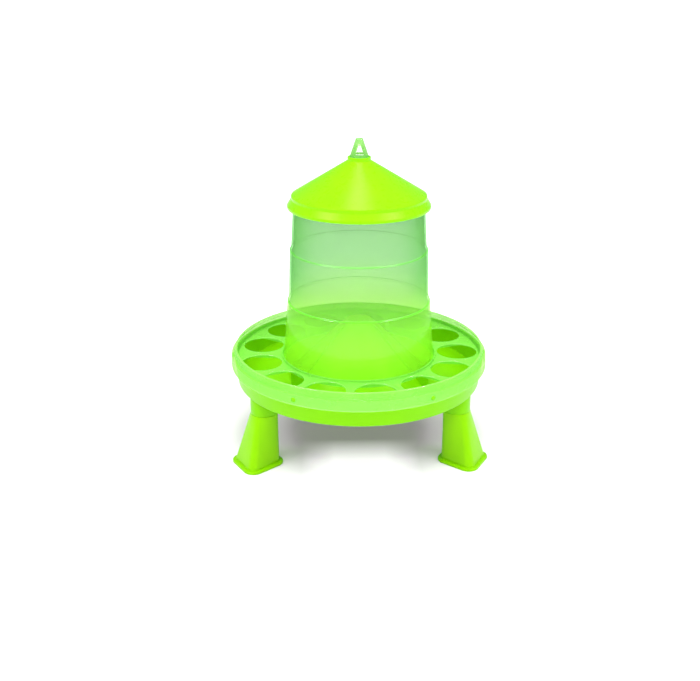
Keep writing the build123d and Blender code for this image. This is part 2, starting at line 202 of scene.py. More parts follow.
# %% The turning tree
def turning():
    """Turns a half section about the feeder's axis: one column of a grid for each point of the section."""
    tree, given, end = new_tree("turned_piece", [
        ("Segments", "NodeSocketInt", 192),
        ("Closed", "NodeSocketBool", True),
        ("Axis Y", "NodeSocketFloat", 0.0),
        ("Finish", "NodeSocketMaterial", None),
    ])
    size = node(tree, "GeometryNodeAttributeDomainSize", {"Geometry": given["Geometry"]}, component="MESH")
    count = size.outputs["Point Count"]
    rows = maths(tree, "ADD", given["Segments"], 1.0)
    columns = maths(tree, "ADD", count, given["Closed"])
    grid = node(tree, "GeometryNodeMeshGrid", {"Vertices X": columns, "Vertices Y": rows})
    index = node(tree, "GeometryNodeInputIndex").outputs[0]
    column = maths(tree, "MODULO", maths(tree, "FLOOR", maths(tree, "DIVIDE", index, rows)), count)
    row = maths(tree, "MODULO", index, rows)
    turn = maths(tree, "DIVIDE", maths(tree, "MULTIPLY", row, 2 * math.pi), given["Segments"])
    place = node(tree, "GeometryNodeInputPosition").outputs[0]
    sample = node(tree, "GeometryNodeSampleIndex", data_type="FLOAT_VECTOR", domain="POINT")
    tree.links.new(given["Geometry"], sample.inputs["Geometry"])
    tree.links.new(place, sample.inputs["Value"])
    tree.links.new(column, sample.inputs["Index"])
    part = node(tree, "ShaderNodeSeparateXYZ", {0: sample.outputs[0]}).outputs
    across = maths(tree, "MULTIPLY", part[0], maths(tree, "COSINE", turn))
    along = maths(tree, "MULTIPLY", part[0], maths(tree, "SINE", turn))
    along = maths(tree, "ADD", along, given["Axis Y"])
    spot = node(tree, "ShaderNodeCombineXYZ", {0: across, 1: along, 2: part[2]}).outputs[0]
    moved = node(tree, "GeometryNodeSetPosition", {"Geometry": grid.outputs["Mesh"], "Position": spot})
    weld = node(tree, "GeometryNodeMergeByDistance", {"Geometry": moved.outputs[0], "Distance": 2e-6})
    real = node(tree, "GeometryNodeRealizeInstances", {"Geometry": weld.outputs[0]})
    finish = node(tree, "GeometryNodeSetMaterial", {"Geometry": real.outputs[0], "Material": given["Finish"]})
    tree.links.new(finish.outputs[0], end.inputs[0])
    return tree


turning_tree = turning()
print("turning tree:", len(turning_tree.nodes), "nodes")


# %% The tree that repeats a piece round the axis
def repeating():
    """Repeats a piece at equal turns about the feeder's axis."""
    tree, given, end = new_tree("ring_of_pieces", [
        ("Count", "NodeSocketInt", 3),
        ("Start", "NodeSocketFloat", 0.0),
        ("Axis Y", "NodeSocketFloat", 0.0),
        ("Finish", "NodeSocketMaterial", None),
    ])
    centre = node(tree, "ShaderNodeCombineXYZ", {1: given["Axis Y"]}).outputs[0]
    back = node(tree, "ShaderNodeVectorMath", {0: centre, "Scale": -1.0}, operation="SCALE").outputs[0]
    piece = node(tree, "GeometryNodeTransform", {"Geometry": given["Geometry"], "Translation": back}).outputs[0]
    points = node(tree, "GeometryNodePoints", {"Count": given["Count"], "Position": centre}).outputs[0]
    index = node(tree, "GeometryNodeInputIndex").outputs[0]
    share = maths(tree, "DIVIDE", maths(tree, "MULTIPLY", index, 2 * math.pi), given["Count"])
    turn = node(tree, "ShaderNodeCombineXYZ", {2: maths(tree, "ADD", share, given["Start"])}).outputs[0]
    copies = node(tree, "GeometryNodeInstanceOnPoints", {"Points": points, "Instance": piece, "Rotation": turn})
    real = node(tree, "GeometryNodeRealizeInstances", {"Geometry": copies.outputs[0]})
    finish = node(tree, "GeometryNodeSetMaterial", {"Geometry": real.outputs[0], "Material": given["Finish"]})
    tree.links.new(finish.outputs[0], end.inputs[0])
    return tree


ring_tree = repeating()
print("ring tree:", len(ring_tree.nodes), "nodes")


# %% [markdown]
# ### Closing and shading a mesh
#
# A moulding is one closed skin. The helpers below turn the faces outwards, mark the few edges
# that really are sharp, and weigh each corner's normal by the faces round it, so that flat faces
# stay flat up to their rounded edges.


# %% Helpers for finished meshes
SHARP = math.radians(32)


def closed_up(piece, weld=None):
    """Faces outwards, and welds corners closer than weld if it is given; prints the volume in cubic centimetres and the
    count of open edges, and returns the piece.
    """
    work = bmesh.new()
    work.from_mesh(piece.data)
    if weld:
        bmesh.ops.remove_doubles(work, verts=work.verts, dist=weld)
    bmesh.ops.recalc_face_normals(work, faces=work.faces)
    if work.calc_volume(signed=True) < 0:
        bmesh.ops.reverse_faces(work, faces=work.faces)
    for edge in work.edges:
        edge.smooth = not (len(edge.link_faces) == 2 and edge.calc_face_angle(0) > SHARP)
    for face in work.faces:
        face.smooth = True
    volume = work.calc_volume(signed=True)
    open_edges = sum(1 for edge in work.edges if len(edge.link_faces) != 2)
    work.to_mesh(piece.data)
    work.free()
    print(piece.name, "faces", len(piece.data.polygons), "cm3", round(volume * 1e6, 2), "open edges", open_edges)
    return piece


def turned(name, corners, finish, segments=192, steps=6, closed=True):
    """A piece turned about the feeder's axis from its half section."""
    piece = section(name, rounded(corners, steps, closed=closed))
    made_by(piece, turning_tree, segments=segments, closed=closed, axis_y=axis_y, finish=finish)
    return closed_up(piece)


def ringed(piece, count, start, finish):
    """Repeats a piece about the feeder's axis, the first at the start angle in degrees."""
    return made_by(piece, ring_tree, count=count, start=math.radians(start), axis_y=axis_y, finish=finish)


def joined(name, parts):
    """One object of several, for mouldings whose features stand in the body's own wall."""
    work = bmesh.new()
    for part in parts:
        work.from_mesh(part.data)
    first = parts[0]
    work.to_mesh(first.data)
    work.free()
    for part in parts[1:]:
        bpy.data.objects.remove(part)
    first.name = first.data.name = name
    return first


def combined(piece, other, operation, solver="EXACT"):
    """Unites with, or cuts by, another piece, which is then removed."""
    modifier = piece.modifiers.new(operation, "BOOLEAN")
    modifier.operation = operation
    modifier.solver = solver
    modifier.object = other
    graph = bpy.context.evaluated_depsgraph_get()
    mesh = bpy.data.meshes.new_from_object(piece.evaluated_get(graph), preserve_all_data_layers=True, depsgraph=graph)
    piece.modifiers.clear()
    old = piece.data
    piece.data = mesh
    bpy.data.meshes.remove(old)
    bpy.data.objects.remove(other)
    mesh.name = piece.name
    return piece


def evened(piece):
    """Weighs normals by face area, and keeps the marked sharp edges."""
    modifier = piece.modifiers.new("even normals", "WEIGHTED_NORMAL")
    modifier.keep_sharp = True
    modifier.weight = 80
    return piece


def marked_thick(piece, rule):
    """Stores how thick the plastic is at each point, 0 for a plain wall and 1 where walls meet."""
    mesh = piece.data
    places = np.zeros(len(mesh.vertices) * 3)
    mesh.vertices.foreach_get("co", places)
    x, y, z = places.reshape(-1, 3).T
    thick = mesh.attributes.new("thick", "FLOAT", "POINT")
    thick.data.foreach_set("value", np.clip(rule(np.hypot(x, y - axis_y), z, x, y), 0, 1).astype(np.float32))
    return piece


def slab(name, outline, thickness, round_edge, steps=2):
    """A flat web in the upright plane through the axis, from (radius, height) corners, with rounded edges."""
    work = bmesh.new()
    front = [work.verts.new((x, axis_y - thickness / 2, z)) for x, z in outline]
    face = work.faces.new(front)
    pushed = bmesh.ops.extrude_face_region(work, geom=[face])
    fresh = [g for g in pushed["geom"] if isinstance(g, bmesh.types.BMVert)]
    bmesh.ops.translate(work, verts=fresh, vec=(0, thickness, 0))
    bmesh.ops.recalc_face_normals(work, faces=work.faces)
    if round_edge:
        bmesh.ops.bevel(work, geom=work.edges, offset=round_edge, segments=steps, profile=0.5, affect="EDGES")
    mesh = bpy.data.meshes.new(name)
    work.to_mesh(mesh)
    work.free()
    piece = bpy.data.objects.new(name, mesh)
    bpy.context.scene.collection.objects.link(piece)
    return piece


# %% [markdown]
# ## Finishes
#
# The tray, legs and lid are moulded in opaque lime polypropylene. It is semi-glossy: the mould's
# polish gives a broad soft highlight, and the surface is never quite even. A faint orange-peel
# bump, a slow drift in roughness and a slow drift between two neighbouring limes give that, with
# a little light let into the skin. All patterns read Object coordinates, in metres, so that they
# keep their real scale.


# %% Shader helpers
def shade_noise(tree, place, scale, detail=2.0, roughness=0.5):
    """A noise value over the object's own coordinates; scale is features per metre."""
    made = node(tree, "ShaderNodeTexNoise", {"Vector": place, "Scale": scale, "Detail": detail, "Roughness": roughness})
    return made.outputs["Fac"]


def between(tree, value, low, high, low_out, high_out):
    """Remaps a value, clamped."""
    return node(tree, "ShaderNodeMapRange", {
        "Value": value, "From Min": low, "From Max": high, "To Min": low_out, "To Max": high_out,
    }).outputs[0]


def colour_mix(tree, share, first, second):
    """A blend of two colours."""
    made = node(tree, "ShaderNodeMix", {"Factor": share}, data_type="RGBA")
    made.inputs[6].default_value = (*first, 1.0)
    made.inputs[7].default_value = (*second, 1.0)
    return made.outputs[2]


def blend(tree, share, first, second):
    """A blend of a linked colour and a plain one."""
    made = node(tree, "ShaderNodeMix", {"Factor": share}, data_type="RGBA")
    tree.links.new(first, made.inputs[6])
    made.inputs[7].default_value = (*second, 1.0)
    return made.outputs[2]


def new_finish(name):
    """A material with an empty Principled shader; returns the material, its tree, shader and coordinates."""
    finish = bpy.data.materials.new(name)
    finish.use_nodes = True
    tree = finish.node_tree
    shader = tree.nodes["Principled BSDF"]
    place = node(tree, "ShaderNodeTexCoord").outputs["Object"]
    return finish, tree, shader, place


def lime_plastic(name, colour, deep, gloss, skin_light=0.1):
    """Opaque polypropylene: two near limes, orange peel, uneven polish."""
    finish, tree, shader, place = new_finish(name)
    drift = shade_noise(tree, place, 38.0, 3.0)
    tree.links.new(colour_mix(tree, between(tree, drift, 0.3, 0.7, 0, 1), colour, deep), shader.inputs["Base Color"])
    polish = shade_noise(tree, place, 160.0, 4.0, 0.65)
    tree.links.new(between(tree, polish, 0.25, 0.75, gloss - 0.05, gloss + 0.07), shader.inputs["Roughness"])
    peel = shade_noise(tree, place, 1400.0, 2.0)
    bump = node(tree, "ShaderNodeBump", {"Strength": 0.12, "Distance": 0.00008, "Height": peel})
    tree.links.new(bump.outputs[0], shader.inputs["Normal"])
    shader.inputs["IOR"].default_value = 1.5
    shader.inputs["Subsurface Weight"].default_value = skin_light
    shader.inputs["Subsurface Radius"].default_value = (0.5, 1.0, 0.2)
    shader.inputs["Subsurface Scale"].default_value = 1.2 * MM
    shader.inputs["Specular IOR Level"].default_value = 0.2
    shader.inputs["Specular Tint"].default_value = (1.0, 1.0, 0.35, 1.0)
    return finish


lid_lime = lime_plastic("lid_lime", (0.208, 0.65, 0.001), (0.193, 0.63, 0.001), 0.28)
tray_lime = lime_plastic("tray_lime", (0.17, 0.53, 0.001), (0.16, 0.51, 0.001), 0.32)
leg_lime = lime_plastic("leg_lime", (0.225, 0.57, 0.001), (0.21, 0.55, 0.001), 0.32)
print("lime finishes:", lid_lime.name, tray_lime.name, leg_lime.name)

# %% [markdown]
# The hopper, grille and hanger are moulded in clear polypropylene with green in it. Clear PP is
# never as clear as glass: crystals in it scatter a little light, so it looks slightly milky.
# A refracting shader could make it, but a 2 mm wall hardly bends what is seen through it, and
# refraction keeps lamps out of the hopper. So each skin of the wall is a mix: most of it passes
# light straight on through a tint, a share scatters it, and a clear gloss lies over both. The
# tint deepens where the wall is seen edge on, because the path through the plastic is longer.
# A `thick` attribute, set where two walls meet, raises the scatter there, so that rings, lips and
# rims glow as thick plastic does.


# %% Clear green plastic
def clear_green(name, tint, edge_tint, lamp_tint, haze_colour, thick_colour, haze, thick_haze, gloss=0.08, painted_bounce=None):
    """Translucent polypropylene: tinted see-through, a milky share, and gloss that grows towards the edges.

    The last argument, if given, is (low, high, tint, haze, colour) and paints light onto the wall's foot: the lime
    light bounced up from the tray and cone. Below low the wall takes this lighter tint, extra haze and haze colour,
    fading out up to high.
    """
    finish, tree, milk, place = new_finish(name)
    facing = node(tree, "ShaderNodeLayerWeight", {"Blend": 0.5}).outputs["Facing"]
    edge = maths(tree, "POWER", facing, 2.0)
    seen_tint = colour_mix(tree, edge, tint, edge_tint)
    # Painted light near the foot: a lighter tint stands in for the lime light bounced up from the tray and cone.
    if painted_bounce:
        low, high, painted_bounce_tint, painted_bounce_haze, painted_bounce_colour = painted_bounce
        rise = node(tree, "ShaderNodeSeparateXYZ", {0: place}).outputs["Z"]
        painted_bounce_share = node(tree, "ShaderNodeMapRange", {
            "Value": rise, "From Min": low, "From Max": high, "To Min": 1.0, "To Max": 0.0,
        }, interpolation_type="SMOOTHSTEP").outputs[0]
        seen_tint = blend(tree, painted_bounce_share, seen_tint, painted_bounce_tint)
    clear = node(tree, "ShaderNodeBsdfTransparent", {"Color": seen_tint})

    drift = shade_noise(tree, place, 30.0, 3.0)
    deeper = tuple(c * 0.9 for c in haze_colour)
    thick = node(tree, "ShaderNodeAttribute", attribute_name="thick").outputs["Fac"]
    milky = colour_mix(tree, between(tree, drift, 0.3, 0.7, 0, 1), haze_colour, deeper)
    # Painted light near the foot: a lime haze colour and extra haze for the same bounced light.
    if painted_bounce:
        milky = blend(tree, painted_bounce_share, milky, painted_bounce_colour)
    tree.links.new(blend(tree, thick, milky, thick_colour), milk.inputs["Base Color"])
    milk.inputs["Roughness"].default_value = 0.5
    milk.inputs["Specular IOR Level"].default_value = 0.0
    share = maths(tree, "ADD", between(tree, drift, 0.3, 0.7, haze * 0.9, haze * 1.1),
                  maths(tree, "MULTIPLY", thick, thick_haze))
    if painted_bounce:
        share = maths(tree, "ADD", share, maths(tree, "MULTIPLY", painted_bounce_share, painted_bounce_haze))
    body = node(tree, "ShaderNodeMixShader", {0: share, 1: clear.outputs[0], 2: milk.outputs[0]})

    polish = shade_noise(tree, place, 90.0, 3.0, 0.6)
    ripple = shade_noise(tree, place, 220.0, 2.0)
    bump = node(tree, "ShaderNodeBump", {"Strength": 0.08, "Distance": 0.0001, "Height": ripple})
    shine = node(tree, "ShaderNodeBsdfAnisotropic", {"Normal": bump.outputs[0]})
    tree.links.new(between(tree, polish, 0.3, 0.75, gloss, gloss + 0.06), shine.inputs["Roughness"])
    mirrored = maths(tree, "ADD", maths(tree, "MULTIPLY", maths(tree, "POWER", facing, 5.0), 0.15), 0.02)
    mirrored = maths(tree, "ADD", mirrored, maths(tree, "MULTIPLY", thick, 0.15))
    seen = node(tree, "ShaderNodeMixShader", {0: mirrored, 1: body.outputs[0], 2: shine.outputs[0]})
    path = node(tree, "ShaderNodeLightPath").outputs
    lamp = maths(tree, "MAXIMUM", path["Is Shadow Ray"], path["Is Diffuse Ray"])
    lit = node(tree, "ShaderNodeBsdfTransparent", {"Color": (*lamp_tint, 1.0)})
    surface = node(tree, "ShaderNodeMixShader", {0: lamp, 1: seen.outputs[0], 2: lit.outputs[0]})
    tree.links.new(surface.outputs[0], tree.nodes["Material Output"].inputs["Surface"])
    return finish


# The hopper's foot gets painted light: a lighter tint and a lime haze for the light bounced up from the tray and cone.
hopper_green = clear_green(
    "hopper_clear_green", (0.69, 0.80, 0.69), (0.34, 0.68, 0.32), (0.98, 1.0, 0.96),
    (0.34, 0.86, 0.06), (0.13, 0.82, 0.04), 0.06, 0.5,
    painted_bounce=(hopper_bottom + 20 * MM, hopper_bottom + 115 * MM, (0.90, 0.99, 0.62), 0.23, (0.35, 0.93, 0.04)))
grille_green = clear_green(
    "grille_clear_green", (0.80, 0.97, 0.64), (0.78, 0.96, 0.60), (0.90, 0.94, 0.8),
    (0.275, 0.79, 0.105), (0.35, 0.90, 0.15), 0.42, 0.25, 0.12)
hanger_green = clear_green(
    "hanger_clear_green", (0.58, 0.82, 0.42), (0.40, 0.74, 0.28), (0.95, 1.0, 0.9),
    (0.26, 0.58, 0.15), (0.26, 0.60, 0.15), 0.35, 0.3, 0.12)
print("clear finishes:", hopper_green.name, grille_green.name, hanger_green.name)

# %% [markdown]
# ## The tray
#
# One lime moulding: a flat trough with a flared wall, and a cone in the middle that spreads the
# feed outwards. Its half section runs up the cone, across the floor, up the wall and back along
# the underside, which is hollow beneath the cone. The cone's top is on the axis, so this section
# is open and starts and ends there.

# %% Tray sizes
tray_bottom = socket_bottom + 18.2 * MM
tray_floor = 2.0 * MM
floor_top = tray_bottom + tray_floor
tray_depth = 31.8 * MM
tray_rim = tray_bottom + tray_depth
tray_wall = 1.8 * MM
tray_flare = 0.12
tray_foot_radius = skirt_radius - (0.5 + 1.8 + 1.28) * MM - tray_depth * tray_flare
cone_height = 70.3 * MM
cone_base_radius = hopper_radius - 5.1 * MM
cone_top_radius = 15.0 * MM
cone_fall = cone_height / (cone_base_radius - cone_top_radius)
cone_wall = 2.0 * MM
cone_inset = cone_wall * math.sqrt(1 + cone_fall**2) / cone_fall


def cone_surface(radius):
    """Height of the cone's slope."""
    return floor_top + (cone_base_radius - radius) * cone_fall


def tray_outer(height):
    """Outer radius of the tray's flared wall."""
    return tray_foot_radius + (height - tray_bottom) * tray_flare


print("tray rim", round(tray_rim / MM, 2), "foot radius", round(tray_foot_radius / MM, 2))

# %% Turn the bowl and its cone
cone_under = tray_bottom + cone_height + tray_floor - cone_wall
bowl = turned("tray_bowl", [
    (0, floor_top + cone_height, 0),
    (cone_top_radius, floor_top + cone_height, 6.0 * MM),
    (cone_base_radius, floor_top, 3.0 * MM),
    (tray_outer(floor_top) - tray_wall, floor_top, 1.2 * MM),
    (tray_outer(tray_rim) - tray_wall, tray_rim, 0.6 * MM),
    (tray_outer(tray_rim), tray_rim, 0.6 * MM),
    (tray_foot_radius, tray_bottom, 2.5 * MM),
    (cone_base_radius - cone_inset + tray_floor / cone_fall, tray_bottom, 1.0 * MM),
    (cone_top_radius - cone_inset + cone_wall / cone_fall, cone_under, 2.0 * MM),
    (0, cone_under, 0),
], tray_lime, closed=False)

# %% [markdown]
# Three sockets under the floor take the legs, six pegs round the wall hold the grille's skirt, and
# three fins on the cone carry the hopper. Each is made once and repeated round the axis.

# %% Sockets and pegs
leg_count = 3
sink = 0.6 * MM
socket_radius = 15.5 * MM
socket_bore = 12.85 * MM
leg_circle = tray_foot_radius - 0.1 * MM - socket_radius


def turned_at(name, corners, centre_y, finish, segments, closed=True):
    """A piece turned about an upright axis that stands at (0, centre_y)."""
    piece = section(name, rounded(corners, closed=closed))
    made_by(piece, turning_tree, segments=segments, closed=closed, axis_y=centre_y, finish=finish)
    return closed_up(piece)


sockets = turned_at("sockets", [
    (socket_bore, socket_bottom, 0.5 * MM),
    (socket_radius, socket_bottom, 0.5 * MM),
    (socket_radius, tray_bottom + sink, 0.2 * MM),
    (socket_bore, tray_bottom + sink, 0.2 * MM),
], axis_y + leg_circle, tray_lime, 64)
ringed(sockets, leg_count, 0, tray_lime)

peg_count = 6
peg_radius = 2.5 * MM
peg_height = tray_rim - 4.5 * MM
peg_root = tray_outer(peg_height) - sink
pegs = turned_at("pegs", [
    (0, 0, 0),
    (peg_radius, 0, 0.2 * MM),
    (peg_radius, skirt_radius - peg_root, 0.8 * MM),
    (0, skirt_radius - peg_root, 0),
], 0.0, tray_lime, 32, closed=False)
lay_out = Matrix.Translation((peg_root, axis_y, peg_height)) @ Matrix.Rotation(math.radians(90), 4, "Y")
pegs.data.transform(lay_out)
ringed(pegs, peg_count, 0, tray_lime)
print("leg circle", round(leg_circle / MM, 2), "peg height", round(peg_height / MM, 2))

# %% Fins with their posts and shoulders
shoulder_top = hopper_bottom - 0.4 * MM
lug_bottom = hopper_bottom + 1.5 * MM
lug_thickness = 3.0 * MM
hook_bottom = lug_bottom + lug_thickness + 0.6 * MM
hook_top = hook_bottom + 2.6 * MM
hopper_taper = 0.0626
hopper_wall = 2.0 * MM
hook_outer = hopper_radius - hopper_taper * (hook_top - hopper_bottom) - hopper_wall - 0.6 * MM
post_inner = hook_outer - 7.7 * MM
fin_start = cone_top_radius + 3.0 * MM
fin_ramp_end = fin_start + 6.0 * MM
fin_height = 3.0 * MM
shoulder_reach = hopper_radius + 1.9 * MM
fins = slab("fins", [
    (fin_start, cone_surface(fin_start) - sink),
    (fin_ramp_end, cone_surface(fin_ramp_end) + fin_height),
    (post_inner, cone_surface(post_inner) + fin_height),
    (post_inner, hook_top),
    (hook_outer, hook_top),
    (hook_outer, shoulder_top),
    (shoulder_reach, shoulder_top),
    (shoulder_reach, floor_top - sink),
    (cone_base_radius, floor_top - sink),
], 2.5 * MM, 0.35 * MM)
closed_up(ringed(fins, leg_count, 90, tray_lime))


# %% Hooks, swept part of the way round
def arc_band(name, corners, from_angle, to_angle, count, finish, steps_round=10):
    """A closed band: a rounded section swept round the axis between two angles in degrees, then repeated."""
    ring = rounded(corners, steps=3, support=1.0 * MM)
    work = bmesh.new()
    rows = []
    for step in range(steps_round + 1):
        turn = math.radians(from_angle + (to_angle - from_angle) * step / steps_round)
        rows.append([work.verts.new((p[0] * math.cos(turn), axis_y + p[0] * math.sin(turn), p[1])) for p in ring])
    for one, two in zip(rows, rows[1:]):
        for i in range(len(ring)):
            work.faces.new((one[i - 1], one[i], two[i], two[i - 1]))
    work.faces.new(rows[0])
    work.faces.new(reversed(rows[-1]))
    mesh = bpy.data.meshes.new(name)
    work.to_mesh(mesh)
    work.free()
    piece = bpy.data.objects.new(name, mesh)
    bpy.context.scene.collection.objects.link(piece)
    return closed_up(ringed(piece, count, 0, finish))


lug_lead = 1.3
lug_arc = 13.0
hook_inner = hook_outer - 2.8 * MM
hooks = arc_band("hooks", [
    (hook_inner, hook_bottom, 0.3 * MM),
    (hook_outer, hook_bottom, 0.3 * MM),
    (hook_outer, hook_top, 0.3 * MM),
    (hook_inner, hook_top, 0.3 * MM),
], 90, 90 + lug_lead + lug_arc, leg_count, tray_lime)

tray = joined("feed_tray_moulding", [bowl, sockets, pegs, fins, hooks])
evened(tray)
print("tray faces", len(tray.data.polygons))

# %% [markdown]
# ## The legs
#
# A leg is hollow, round where it plugs in and a rounded trapezium at the foot, where a bead runs
# round it. A loft between the two outlines could be made with curves. Here it is a stack of rings
# that all have the same number of points: in each direction from the leg's axis the wall runs
# straight from the foot's outline to the round top, outside and inside, so the skin closes.

# %% One leg, as a stack of rings
foot_inner_reach = 17.0 * MM
foot_outer_reach = 35.0 * MM
foot_inner_half = 18.4 * MM
foot_outer_half = 28.9 * MM
foot_corner = 12.5 * MM
foot_thickness = 3.5 * MM
foot_round = 1.4 * MM
foot_lip = 4.0 * MM
leg_wall = 2.2 * MM
leg_top_radius = socket_radius + 0.3 * MM
spigot_radius = socket_bore - 0.15 * MM
spigot_length = 16.0 * MM
leg_points = 160


def foot_outline(inset):
    """Distance from the leg's axis to the foot's outline, drawn in by an inset, in each direction."""
    inner, outer = -foot_inner_reach + inset, foot_outer_reach - inset
    corners = [
        (inner, -foot_inner_half + inset), (outer, -foot_outer_half + inset),
        (outer, foot_outer_half - inset), (inner, foot_inner_half - inset),
    ]
    corner = max(foot_corner - inset, 1.0 * MM)
    ring = np.array(rounded([(x, y, corner) for x, y in corners], steps=24, support=1.5 * MM))
    share = np.linspace(0, 1, 24, endpoint=False)[:, None, None]
    dense = (ring * (1 - share) + np.roll(ring, -1, axis=0) * share).reshape(-1, 2)
    turns = np.arctan2(dense[:, 1], dense[:, 0])
    reach = np.hypot(dense[:, 0], dense[:, 1])
    order = np.argsort(turns)
    directions = np.arange(leg_points) * 2 * math.pi / leg_points - math.pi
    return np.interp(directions, turns[order], reach[order], period=2 * math.pi)


def leg_ring(inset, height, round_share, radius):
    """One ring: the foot's outline blended towards a circle."""
    directions = np.arange(leg_points) * 2 * math.pi / leg_points - math.pi
    reach = foot_outline(inset) * (1 - round_share) + radius * round_share
    return np.stack([reach * np.cos(directions), reach * np.sin(directions), np.full(leg_points, height)], 1)


def quarter(steps=5):
    """Shares along a quarter round: (out, up)."""
    return [(1 - math.cos(math.pi / 2 * i / steps), math.sin(math.pi / 2 * i / steps)) for i in range(steps + 1)]


leg_height = socket_bottom
sole_round = foot_round / 2
body_foot = foot_thickness
rings = [leg_ring(foot_lip + leg_wall, 0.0, 0, 0), leg_ring(sole_round, 0.0, 0, 0)]
for out, up in quarter(4)[1:]:
    rings.append(leg_ring(sole_round * (1 - up), sole_round * out, 0, 0))
for out, up in quarter():
    rings.append(leg_ring(foot_round * out, foot_thickness - foot_round * (1 - up), 0, 0))
groove = 0.5 * MM
rings.append(leg_ring(foot_lip - 1.1 * groove, body_foot, 0, 0))
rings.append(leg_ring(foot_lip + 0.15 * groove, body_foot + 0.3 * groove, 0, 0))
body_steps = 14
for step in range(1, body_steps + 1):
    share = step / body_steps
    height = body_foot + (leg_height - body_foot) * share
    rings.append(leg_ring(foot_lip, min(height, leg_height - 0.5 * MM), min(share, 0.992), leg_top_radius))
rings.append(leg_ring(0, leg_height - 0.15 * MM, 1, leg_top_radius - 0.1 * MM))
rings.append(leg_ring(0, leg_height, 1, leg_top_radius - 0.5 * MM))
rings.append(leg_ring(0, leg_height, 1, spigot_radius))
spigot_top = leg_height + spigot_length
for share in (0.1, 0.9):
    rings.append(leg_ring(0, leg_height + spigot_length * share, 1, spigot_radius))
for out, up in quarter(4):
    rings.append(leg_ring(0, spigot_top - 0.6 * MM * (1 - up), 1, spigot_radius - 0.6 * MM * out))
rings.append(leg_ring(0, spigot_top, 1, spigot_radius - leg_wall))
rings.append(leg_ring(0, leg_height, 1, spigot_radius - leg_wall))
for step in range(body_steps - 1, 0, -1):
    share = step / body_steps
    rings.append(leg_ring(foot_lip + leg_wall, leg_height * share, share, spigot_radius - leg_wall))
work = bmesh.new()
rows = [[work.verts.new(p) for p in ring] for ring in rings]
for one, two in zip(rows, rows[1:] + rows[:1]):
    for i in range(leg_points):
        work.faces.new((one[i - 1], one[i], two[i], two[i - 1]))
leg_mesh = bpy.data.meshes.new("leg")
work.to_mesh(leg_mesh)
work.free()
print("leg rings", len(rings), "of", leg_points)

# %% Stand the three legs under their sockets
legs = []
for number in range(leg_count):
    name = f"leg_{number + 1}"
    turn = math.radians(-30 + 360 / leg_count * number)
    mesh = leg_mesh.copy()
    stand = Matrix.Translation((leg_circle * math.cos(turn), axis_y + leg_circle * math.sin(turn), 0))
    mesh.transform(stand @ Matrix.Rotation(turn, 4, "Z"))
    mesh.materials.append(leg_lime)
    leg = bpy.data.objects.new(name + "_moulding", mesh)
    bpy.context.scene.collection.objects.link(leg)
    legs.append(evened(closed_up(leg)))

# %% [markdown]
# ## The anti-waste grille
#
# A flat ring with thirteen feeding holes, a collar round the hopper, a guard rim that hens can't
# rake feed over, and a skirt that snaps over the tray's pegs. The blank is turned. The holes are
# cut by a ring of turned cutters whose ends flare, which leaves each hole with a rolled lip. The
# plastic is see-through, so ribs are united with the plate: a rib that only overlapped it would
# show as a darker bar inside.

# %% Grille sizes and blank
plate_top = tray_rim - 3.0 * MM
plate_thickness = 2.0 * MM
plate_bottom = plate_top - plate_thickness
collar_inner = hopper_radius + 0.5 * MM
collar_outer = collar_inner + 1.8 * MM
collar_bottom = plate_bottom - 4.0 * MM
hole_radius = 24.0 * MM
hole_margin = 1.9 * MM
rim_foot_inner = collar_outer + 2 * (hole_margin + hole_radius)
hole_circle = (collar_outer + rim_foot_inner) / 2
hole_count = int(math.pi / math.asin((hole_radius + 4.0 * MM) / hole_circle))
nest_gap = 0.2 * MM
skirt_shoulder = tray_rim + 2.0 * MM
rim_outer = tray_outer(rim_top) - tray_wall - nest_gap - 0.8 * MM
grille = turned("grille", [
    (collar_inner, collar_bottom, 0.4 * MM),
    (collar_outer, collar_bottom, 0.4 * MM),
    (collar_outer, plate_bottom, 0.5 * MM),
    (rim_foot_inner + 1.6 * MM, plate_bottom, 0.3 * MM),
    (tray_outer(tray_rim) - tray_wall - nest_gap, tray_rim, 0.3 * MM),
    (skirt_radius - 2.3 * MM, tray_rim, 0.4 * MM),
    (skirt_radius - 1.8 * MM, skirt_bottom, 0.6 * MM),
    (skirt_radius, skirt_bottom, 0.6 * MM),
    (skirt_radius - 0.5 * MM, skirt_shoulder, 0.7 * MM),
    (rim_outer + 2.0 * MM, skirt_shoulder + 1.0 * MM, 0.6 * MM),
    (rim_outer, rim_top, 0.75 * MM),
    (rim_outer - 2.1 * MM, rim_top, 0.75 * MM),
    (rim_foot_inner, plate_top, 1.0 * MM),
    (collar_outer, plate_top, 0.8 * MM),
    (collar_outer, plate_top + 3.0 * MM, 0.7 * MM),
    (collar_inner, plate_top + 3.0 * MM, 0.7 * MM),
], grille_green, segments=16 * hole_count, steps=5)
print("feeding holes", hole_count)

# %% Ribs, united with the plate
rib_sink = 0.6 * MM
ribs = slab("ribs", [
    (collar_outer - rib_sink, plate_bottom + rib_sink),
    (collar_outer - rib_sink, plate_bottom + rib_sink - 5.0 * MM),
    (rim_foot_inner + rib_sink, plate_bottom - 2.0 * MM),
    (rim_foot_inner + rib_sink, plate_bottom + rib_sink),
], 1.6 * MM, 0)
closed_up(ringed(ribs, hole_count, 180.0 / hole_count, grille_green))
combined(grille, ribs, "UNION")
print("with ribs:", len(grille.data.polygons), "faces")

